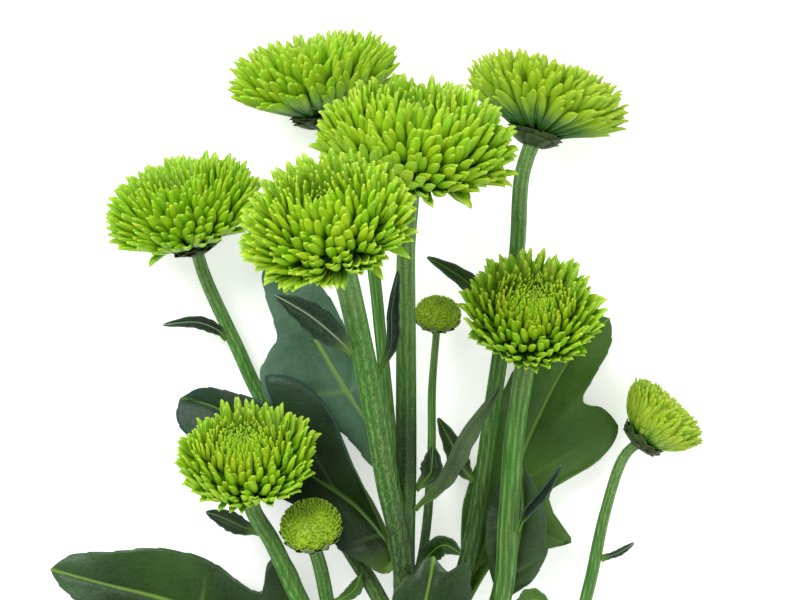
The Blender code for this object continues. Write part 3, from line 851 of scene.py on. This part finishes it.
def stalk_tube(stalk, number):
    frames = walk(into_head(stalk), RING_STEP)
    last = len(frames) - 1

    def place(across, length_share):
        share, centre, side_way, other = frames[round(length_share * last)]
        turn = math.pi * across
        rough = noise.noise(Vector((math.cos(turn) * 1.5, math.sin(turn) * 1.5, share * 9 + number * 7)))
        rib = RIB_DEPTH * math.cos(RIBS * turn + 0.6 * rough)
        swell = ROOT_SWELL * (1 - ease(0, .08, share)) + TOP_SWELL * ease(.93, 1.0, share)
        radius = stalk_radius(stalk, share) * (STALK_FILL + rib + 0.05 * rough + swell * bool(number))
        spot = centre + (side_way * math.cos(turn) + other * math.sin(turn)) * radius
        return pressed(spot, [])

    bm = laid_grid(TUBE_SIDES, last, place)
    close_tube(bm)
    # painted shade: the fork mark is high near the fork and along a stretch of the top centre stalk
    fork_shade_layer, fork = bm.verts.layers.float.new("fork"), seen(*FORK)
    along_layer = bm.verts.layers.float["along"]
    for vert in bm.verts:
        vert[fork_shade_layer] = nearness((vert.co - fork).length, FORK_SHADE_REACH)
        if number == 0:
            dark = nearness(vert[along_layer] - SHADOW_SHARE, SHADOW_SPREAD)
            vert[fork_shade_layer] = max(vert[fork_shade_layer], dark)
    return bm


# %% [markdown]
# The stalks are green with fine pale ribs and grooves painted dark as shade, and a little brown on one
# side. They are painted darker towards their roots and nearly black where they fork, as painted shade.
# Short pale hairs near the heads show as specks.

# %% Stem finish
def stem_finish():
    finish = Finish("stem_skin", 0.25)
    across, height = finish.mark("across"), finish.mark("along")
    streaks = finish.grain(120.0, 4.0, (4.0, 0.4, 4.0))
    threads = finish.grain(800.0, 2.0, (2.5, 0.1, 2.5))
    specks = finish.grain(2600.0, 1.0)
    lines = (across * (math.pi * RIBS) + streaks * 1.5).wave()
    side = (across * (math.pi * 2.0) + streaks * 2.0).wave()
    # painted shade: the grooves between the ribs are darkened
    groove_shade = lines.between(.45, .0) * (0.1 + streaks * 0.4)
    hairs = specks.between(.70, 1.0) * (0.08 + height.between(.75, 1.0) * 0.30)
    # painted shade: the stalks are painted darker towards their roots
    shaded_low = finish.blend(height.between(.15, .75), paint(34, 74, 16), paint(48, 108, 26))
    downy = finish.blend(height.between(.68, .98) * 0.45, shaded_low, paint(116, 146, 88))
    green = finish.blend(threads * 0.50, downy, paint(98, 152, 60))
    ribbed = finish.blend(lines.between(.55, 1.0) * threads * 0.45, green, paint(140, 178, 104))
    groove_shaded = finish.blend(groove_shade, ribbed, paint(34, 74, 20))
    washed = finish.blend(side.between(.75, 1.0) * 0.16, groove_shaded, paint(104, 96, 54))
    # painted shade: nearly black where the fork mark is high
    fork_shaded = finish.blend(finish.mark("fork") * 0.82, washed, paint(12, 30, 8))
    haired = finish.blend(hairs, fork_shaded, paint(178, 200, 150))
    cut = finish.blend(height.between(.0, .0015), paint(176, 190, 128), haired)
    finish.wear(cut, 0.42 + streaks * 0.18)
    finish.relief(lines * 0.5 + threads * 0.3 + specks * 0.2, 0.2)
    finish.glow_through(0.08, 1.0, (0.4, 1.0, 0.2))
    return finish


# %% Make the stem and the calyces
stem_bm = bmesh.new()
for stalk_number, stalk in enumerate(STALKS):
    tube_bm = stalk_tube(stalk, stalk_number)
    tube_mesh = bpy.data.meshes.new("tube")
    tube_bm.to_mesh(tube_mesh)
    tube_bm.free()
    stem_bm.from_mesh(tube_mesh)
    bpy.data.meshes.remove(tube_mesh)
add_piece("stem_skin", stem_bm, stem_finish(), "stem", "stem")

for head_number, head in enumerate(HEADS):
    calyx_bm = make_calyx(head, STALK_NAMED[head.name].top_radius, CALYX_SEED + head_number)
    look = bud_calyx if head.form is BUD else open_calyx
    add_piece("bracts_" + head.name, calyx_bm, look, "calyx", "calyx_" + head.name)

# %% [markdown]
# ## Leaves
#
# A leaf of this plant has a spine with two lobed margins. Each margin point is tied to the share
# of the spine where its vein starts, so the rows of a grid laid between spine and margin run the
# way that the side veins do. The rows nearest the lobes' tips become the side veins.

# %% Leaf and bract tables
Leaf = namedtuple("Leaf", "name stalk share spine left right lifts look")
Bract = namedtuple("Bract", "name stalk share spine half_width fold roll look")

LEAVES = (
    Leaf("leaf_right", "top_right", .13,
         ((462, 616, 12.5), (471, 580, 8.5), (490, 532, 6.5), (512, 482, 5.5), (533, 430, 5),
          (568, 362, 4.5), (610, 318, 4)),
         ((.32, 460, 560), (.40, 464, 500), (.50, 486, 440), (.62, 506, 385), (.75, 532, 345),
          (.89, 575, 315)),
         ((.30, 490, 566), (.38, 521, 527), (.42, 572, 543), (.45, 551, 508), (.49, 556, 484),
          (.54, 590, 466), (.58, 611, 447), (.61, 618, 426), (.64, 604, 409), (.69, 583, 401),
          (.78, 593, 378), (.89, 611, 345)),
         (-0.8, 2.0), "green"),
    Leaf("leaf_back", "top_left", .25,
         ((380, 446, 11.5), (369, 425, 10.5), (347, 390, 10), (314, 337, 9.5), (286, 292, 8.5),
          (268, 262, 7)),
         ((.16, 374, 468), (.30, 352, 443), (.40, 334, 428), (.50, 298, 418), (.57, 268, 402),
          (.62, 260, 374), (.69, 268, 354), (.76, 277, 336), (.87, 268, 304), (.95, 262, 278)),
         ((.20, 384, 428), (.36, 371, 400), (.55, 354, 350), (.75, 326, 292), (.92, 290, 262)),
         (1.0, -1.5), "grey"),
    Leaf("leaf_left", "top_centre", .43,
         ((390, 545, 22), (356, 507, 18.5), (311, 475, 15.5), (262, 436, 13.5), (218, 408, 11.5),
          (180, 398, 9)),
         ((.16, 384, 574), (.24, 362, 562), (.33, 338, 548), (.41, 318, 520), (.57, 262, 488),
          (.73, 206, 452), (.88, 178, 424)),
         ((.16, 382, 520), (.23, 364, 486), (.30, 348, 456), (.38, 330, 412), (.44, 302, 382),
          (.49, 266, 375), (.56, 270, 402), (.71, 246, 396), (.88, 206, 387)),
         (1.0, 1.5), "dark"),
    Leaf("leaf_bottom_left", "lower_left", .22,
         ((312, 668, 9.5), (270, 640, 8), (216, 618, 7), (160, 598, 6.5), (108, 585, 6), (50, 569, 4.5)),
         ((.14, 302, 700), (.26, 280, 690), (.38, 246, 680), (.50, 200, 662), (.63, 150, 640),
          (.81, 94, 612), (.93, 62, 588)),
         ((.16, 306, 620), (.25, 302, 585), (.31, 286, 556), (.36, 268, 562), (.42, 262, 590),
          (.50, 244, 585), (.61, 208, 560), (.70, 160, 548), (.82, 116, 551), (.93, 72, 555)),
         (-1.0, 2.0), "soft"),
    Leaf("leaf_bottom", "top_centre", .29,
         ((412, 664, 27), (418, 630, 30), (428, 590, 31), (434, 556, 30)),
         ((.40, 398, 640), (.60, 392, 600), (.76, 404, 578), (.86, 414, 574), (.94, 424, 560)),
         ((.34, 436, 644), (.52, 464, 612), (.68, 471, 588), (.79, 466, 563), (.88, 449, 572)),
         (1.0, 1.5), "soft"),
    Leaf("leaf_stalk", "right", .34,
         ((508, 590, 17.5), (516, 555, 17), (522, 515, 17), (521, 466, 17)),
         ((.26, 496, 590), (.48, 486, 548), (.72, 489, 505), (.90, 508, 470)),
         ((.22, 522, 588), (.36, 534, 578), (.50, 547, 554), (.62, 545, 540), (.78, 546, 515),
          (.91, 534, 483)),
         (-0.8, -1.5), "soft"),
)

BRACTS = (
    Bract("bract_folded", "top_centre", .50,
          ((440, 478, 34), (465, 430, 33), (500, 386, 29)), 3.6, 48, 34, "pale"),
    Bract("bract_middle_left", "middle", .62,
          ((334, 335, 60), (308, 314, 59), (275, 295, 57)), 3.4, 20, -12, "bract"),
    Bract("bract_middle_right", "middle", .55,
          ((390, 345, 49), (391, 310, 50), (398, 270, 50)), 2.0, 40, 30, "bract"),
    Bract("bract_left", "left", .69, ((216, 329, 6.5), (195, 322, 7), (163, 325, 7)), 1.6, 25, 0, "bract"),
    Bract("bract_lower_left", "lower_left", .66,
          ((243, 527, 16), (226, 519, 14), (206, 512, 12)), 2.4, 18, 0, "dark"),
    Bract("bract_bud_low", "bud_low", .38, ((354, 590, 17), (360, 576, 17)), 1.6, 15, 0, "green"),
    Bract("bract_centre_back", "top_right", .35,
          ((463, 468, 9), (453, 446, 8), (438, 418, 7)), 2.6, 20, 0, "soft"),
    Bract("leaf_toothed", "top_centre", .52,
          ((429, 476, 28), (432, 464, 28), (433, 446, 27)), 2.6, 15, 0, "soft"),
    Bract("leaf_curled", "top_centre", .41,
          ((428, 556, 22), (444, 545, 24), (461, 554, 23)), 2.6, 25, 0, "soft"),
    Bract("bract_top_right", "top_right", .57,
          ((487, 300, 14), (460, 277, 17), (427, 257, 17)), 2.4, 25, 15, "soft"),
    Bract("bract_right", "right", .48,
          ((526, 510, 25), (543, 490, 26), (561, 465, 27)), 1.9, 50, 25, "bract"),
    Bract("bract_bud_right", "bud_right", .49, ((618, 553, 6.2), (634, 543, 5)), 0.8, 20, 0, "bract"),
    Bract("leaf_bottom_right", "right", .31,
          ((524, 605, 18.5), (534, 600, 18), (549, 604, 17)), 3.0, 15, 0, "green"),
)
PETIOLE_HALF_WIDTH = 0.9
AURICLE = 1.6
LOWEST_LEAF = 0.5

# %% Spines and margins


def seated_spine(leaf):
    """The spine's points, from a foot that sits on the stalk's side a small gap clear of it."""
    stalk = STALK_NAMED[leaf.stalk]
    path = stalk_path(stalk)
    spine = [seen(*point) for point in leaf.spine]
    centre, forward = along(path, leaf.share), direction_at(path, leaf.share)
    outward = spine[0] - centre
    outward = (outward - forward * outward.dot(forward)).normalized()
    foot = centre + outward * (stalk_radius(stalk, leaf.share) - SEAT_GAP)
    return [foot, foot + outward * (AURICLE + 2 * SEAT_GAP)] + spine


def margin_curve(margin, spine, lift, side):
    """The margin as points in space with their vein's share, foot and tip included."""
    foot, forward = spine[0], direction_at(spine, SLOPE_STEP)
    across = Vector((0, 0, 1)).cross(forward).normalized() * side
    curve = [(0.0, foot + across * PETIOLE_HALF_WIDTH)]
    for share, px, py in margin:
        height = along(spine, share).z + lift * math.sin(math.pi * share)
        curve.append((share, seen(px, py, max(height, LOWEST_LEAF))))
    return curve + [(1.0, spine[-1])]


def margin_place(curve, share):
    shares, places = zip(*curve)
    index = 0
    while index < len(shares) - 2 and shares[index + 1] < share:
        index += 1
    part = (share - shares[index]) / (shares[index + 1] - shares[index])
    return along(places, (index + part) / (len(places) - 1))


def lobe_shares(curve, spine):
    """The shares of the margin points that stand out further than both their neighbours."""
    reach = [(place - along(spine, knot)).length for knot, place in curve]
    return [curve[index][0] for index in range(1, len(curve) - 1)
            if reach[index] > reach[index - 1] and reach[index] >= reach[index + 1]]


# %% [markdown]
# Each point of the grid is laid with the blade's own relief: the sunken midrib and side veins, the
# puffed fields between them, the teeth and a slow wave of the margin.

# %% Leaf blades
LEAF_COLUMNS, LEAF_ROWS = 24, 110
SMALL_COLUMNS, SMALL_ROWS = 20, 28
LEAF_WALL = 0.45
TOOTH = 0.32
TEETH_A_MM = 0.22
MIDRIB_SINK, VEIN_SINK, PUFF, MARGIN_WAVE = 0.45, 0.22, 0.30, 0.7
MIDRIB_HOLLOW, MIDRIB_LINE, VEIN_HOLLOW, VEIN_LINE = 0.9, 0.55, 1.4, 0.7
SMALL_MIDRIB = 0.07


def snapped_rows(rows, shares):
    """Even shares for the rows, with the nearest row moved onto each side vein."""
    even = [row / rows for row in range(rows + 1)]
    for share in shares:
        nearest = min(range(1, rows), key=lambda row: abs(even[row] - share))
        even[nearest] = share
    return even


def leaf_blade(leaf, seed):
    spine = seated_spine(leaf)
    curves = {-1: margin_curve(leaf.left, spine, leaf.lifts[0], 1),
              1: margin_curve(leaf.right, spine, leaf.lifts[1], -1)}
    veins = {side: lobe_shares(curve, spine) for side, curve in curves.items()}
    rows = snapped_rows(LEAF_ROWS, veins[-1] + veins[1])
    length = sum((after - before).length for before, after in zip(spine, spine[1:]))

    def half_row(across, length_share):
        """A row's share, its side, its middle and the way from there to its margin."""
        share, side = rows[round(length_share * LEAF_ROWS)], 1 if across > 0 else -1
        middle = along(spine, share)
        return share, side, middle, margin_place(curves[side], share) - middle

    def near_vein(share, side, width):
        return max([nearness((share - knot) * length, width) for knot in veins[side]] or [0.0])

    def place(across, length_share):
        share, side, middle, half = half_row(across, length_share)
        out, width = abs(across), half.length
        spot = middle + half * out
        wide = ease(0.8, 4.0, width)
        phase = share * length * TEETH_A_MM + 3 * side
        tooth = TOOTH * (phase % 1.0 - 0.5) * wide * out ** 6
        spot = spot + half.normalized() * tooth if width > 0.01 else spot
        vein = near_vein(share, side, VEIN_HOLLOW)
        rib = nearness(out * width, MIDRIB_HOLLOW)
        bulge = PUFF * math.sin(math.pi * out) * (1 - vein) + 0.25 * noise.noise(spot * 0.35)
        wave = MARGIN_WAVE * out ** 2 * math.sin(share * length * 0.28 + seed + side)
        height = (bulge + wave - VEIN_SINK * vein * (1 - out)) * wide - MIDRIB_SINK * rib * wide
        spot.z = max(spot.z + height, LOWEST_LEAF)
        return spot

    bm = laid_grid(LEAF_COLUMNS, LEAF_ROWS, place)
    vein_layer = bm.verts.layers.float.new("vein")
    along_layer, across_layer = bm.verts.layers.float["along"], bm.verts.layers.float["across"]
    for vert in bm.verts:
        share, side, _, half = half_row(vert[across_layer], vert[along_layer])
        out = abs(vert[across_layer])
        vein = near_vein(share, side, VEIN_LINE) * 0.55 * (1 - out * 0.8)
        vert[vein_layer] = max(nearness(out * half.length, MIDRIB_LINE), vein)
    weld(bm)
    return bm


def bract_blade(bract, seed):
    foot, *onward = seated_spine(bract)
    spine = [foot] + onward[1:]

    def place(across, length_share):
        share = min(length_share, 0.995)
        middle, forward = along(spine, share), direction_at(spine, share)
        sideways = forward.cross(Vector((0, 0, 1))).normalized()
        rise = sideways.cross(forward)
        body = bract.half_width * math.sin(math.pi * share ** 1.1)
        width = max(body, PETIOLE_HALF_WIDTH * (1 - share)) * (1 + 0.06 * math.sin(40 * share + seed))
        side = 1 if across > 0 else -1
        angle = math.radians(-bract.roll * side + bract.fold)
        hollow = -0.12 * bract.half_width * math.sin(math.pi * abs(across))
        spot = middle + (sideways * side * math.cos(angle) + rise * math.sin(angle)) * width * abs(across)
        spot = spot + rise * hollow * ease(0, .3, share)
        spot.z = max(spot.z, LOWEST_LEAF)
        return spot

    bm = laid_grid(SMALL_COLUMNS, SMALL_ROWS, place)
    vein_layer, across_layer = bm.verts.layers.float.new("vein"), bm.verts.layers.float["across"]
    for vert in bm.verts:
        vert[vein_layer] = nearness(vert[across_layer], SMALL_MIDRIB)
    weld(bm)
    return bm


# %% [markdown]
# ## The skin of a leaf
#
# The leaves are matt to satin, from near black green to a bluish grey, with a painted sheen on their
# outer parts and tips and a painted highlight along the margin. Midrib and side veins are yellow
# green, and a fine net of veins divides the blade.

# %% Leaf finishes
NET_SCALE = 700.0
FOOT_GREEN = paint(104, 146, 44)


def leaf_finish(name, roughness, *colours):
    dark, light, vein_colour, sheen_colour = [paint(*colour) for colour in colours]
    finish = Finish(name, 0.24)
    across, vein = abs(finish.mark("across")), finish.mark("vein")
    length_share = finish.mark("along")
    cells = finish.node("TexVoronoi", {"feature": "DISTANCE_TO_EDGE"},
                        {"Vector": finish.place(), "Scale": NET_SCALE})
    net = 1 - cells.between(.0, .16)
    clouds, specks = finish.grain(44.0, 4.0), finish.grain(1500.0, 2.0)
    sheen_grain = finish.grain(26.0, 1.0)
    field = finish.blend(clouds * 0.85 + specks * 0.15, dark, light)
    # painted sheen: on the outer blade and towards the tip
    sheen_mask = across.between(.4, 1.0) * 0.25 + length_share.between(.74, 1.0) * 0.45
    sheened = finish.blend((0.35 + sheen_grain * 0.65) * sheen_mask, field, sheen_colour)
    netted = finish.blend(net * 0.04, sheened, vein_colour)
    # painted highlight: a thin strip along the margin in the sheen colour
    rim_sheened = finish.blend(across.between(.93, 1.0) * 0.35, netted, sheen_colour)
    veined = finish.blend(vein.between(.1, .9) * 0.75, rim_sheened, vein_colour)
    footed = finish.blend((1 - length_share.between(.04, .34)) * 0.65, veined, FOOT_GREEN)
    finish.wear(footed, roughness + specks * 0.12 - net * 0.05)
    finish.relief((1 - net) * 0.5 + specks * 0.5, 0.10, 0.35)
    finish.glow_through(0.05, 0.6, (0.3, 1.0, 0.2))
    return finish


# each look: dark, light, vein and painted sheen colours; in the pale look the sheen colour is darker than
# the blade, so there it darkens the outer parts and the margin
LEAF_LOOKS = {
    "green": leaf_finish("leaf_green", 0.44, (42, 78, 20), (72, 112, 36), (122, 162, 56), (84, 120, 52)),
    "dark": leaf_finish("leaf_dark", 0.40, (10, 26, 6), (36, 60, 18), (86, 122, 44), (44, 82, 78)),
    "soft": leaf_finish("leaf_soft", 0.34, (10, 34, 4), (40, 74, 20), (110, 148, 52), (76, 104, 76)),
    "grey": leaf_finish("leaf_blue_grey", 0.50, (20, 54, 22), (76, 112, 88), (118, 156, 66),
                        (100, 134, 118)),
    "bract": leaf_finish("leaf_bract", 0.44, (8, 26, 16), (30, 58, 34), (160, 178, 140), (56, 84, 64)),
    "pale": leaf_finish("leaf_pale", 0.44, (54, 80, 44), (104, 128, 84), (128, 150, 96), (34, 54, 42)),
}


def add_blade_piece(leaf, bm):
    """Make a flat blade a piece and give it its thickness."""
    slot = "leaf_grey" if leaf.look == "grey" else "leaf"
    piece = add_piece("blade_" + leaf.name, bm, LEAF_LOOKS[leaf.look], slot, leaf.name)
    wall = piece.modifiers.new("thickness", "SOLIDIFY")
    wall.thickness, wall.offset = LEAF_WALL * METRES_PER_MM, 0.0


# %% Make the leaves and bracts
for leaf_number, leaf in enumerate(LEAVES):
    add_blade_piece(leaf, leaf_blade(leaf, leaf_number))
for bract_number, bract in enumerate(BRACTS):
    add_blade_piece(bract, bract_blade(bract, bract_number))
